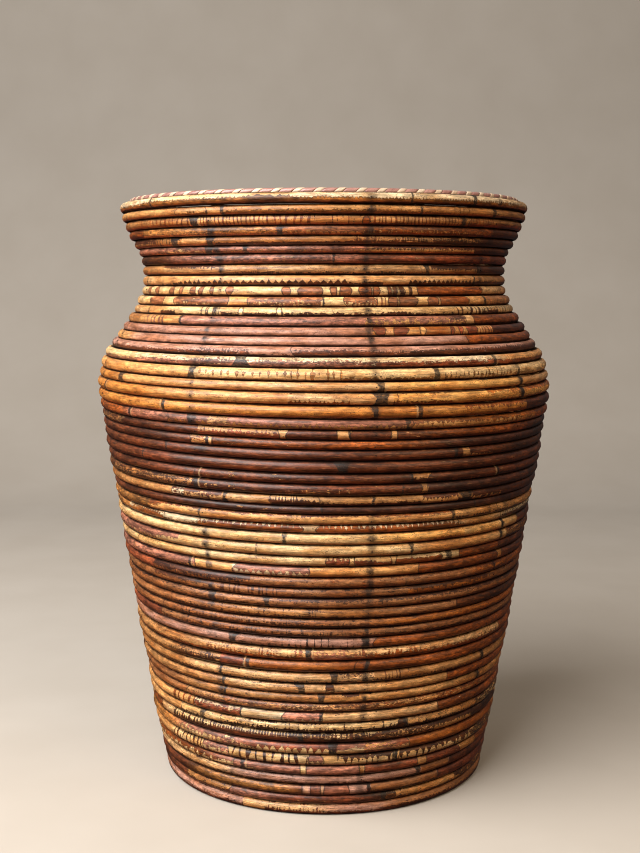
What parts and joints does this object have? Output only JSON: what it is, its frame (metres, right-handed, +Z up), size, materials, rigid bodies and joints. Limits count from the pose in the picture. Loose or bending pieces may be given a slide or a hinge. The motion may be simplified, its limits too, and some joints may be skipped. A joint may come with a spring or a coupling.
{
  "type": "reed floor vase",
  "caption": "Tall round floor vase of rattan canes laid course on course over upright ribs, with a wrapped rim, a narrow neck, a full shoulder and a body that tapers to the foot.",
  "frame": {"origin": "centre of the foot on the floor", "axes": "+Z up along the vase's axis, -Y towards the front seen in the picture, +X to the right of that view"},
  "size_m": [0.3845, 0.3796, 0.4836],
  "materials": {
    "cane": "satin lacquer over partly peeled rattan skin",
    "rib": "bare rattan",
    "core": "peeled rattan",
    "binding": "satin cane peel",
    "board": "raw plywood"
  },
  "bodies": {
    "root": {"top_hoop": "cane", "wall_cane_01": "cane", "wall_cane_02": "cane", "wall_cane_03": "cane", "wall_cane_04": "cane", "wall_cane_05": "cane", "wall_cane_06": "cane", "wall_cane_07": "cane", "wall_cane_08": "cane", "wall_cane_09": "cane", "wall_cane_10": "cane", "wall_cane_11": "cane", "wall_cane_12": "cane", "wall_cane_13": "cane", "wall_cane_14": "cane", "wall_cane_15": "cane", "wall_cane_16": "cane", "wall_cane_17": "cane", "wall_cane_18": "cane", "wall_cane_19": "cane", "bottom_hoop": "cane", "rib_1": "rib", "rib_2": "rib", "rib_3": "rib", "rib_4": "rib", "rib_5": "rib", "rib_6": "rib", "rib_7": "rib", "rib_8": "rib", "rib_9": "rib", "rim_core": "core", "rim_binding": "binding", "base_hoop": "rib", "base_board": "board"}
  },
  "joints": []
}
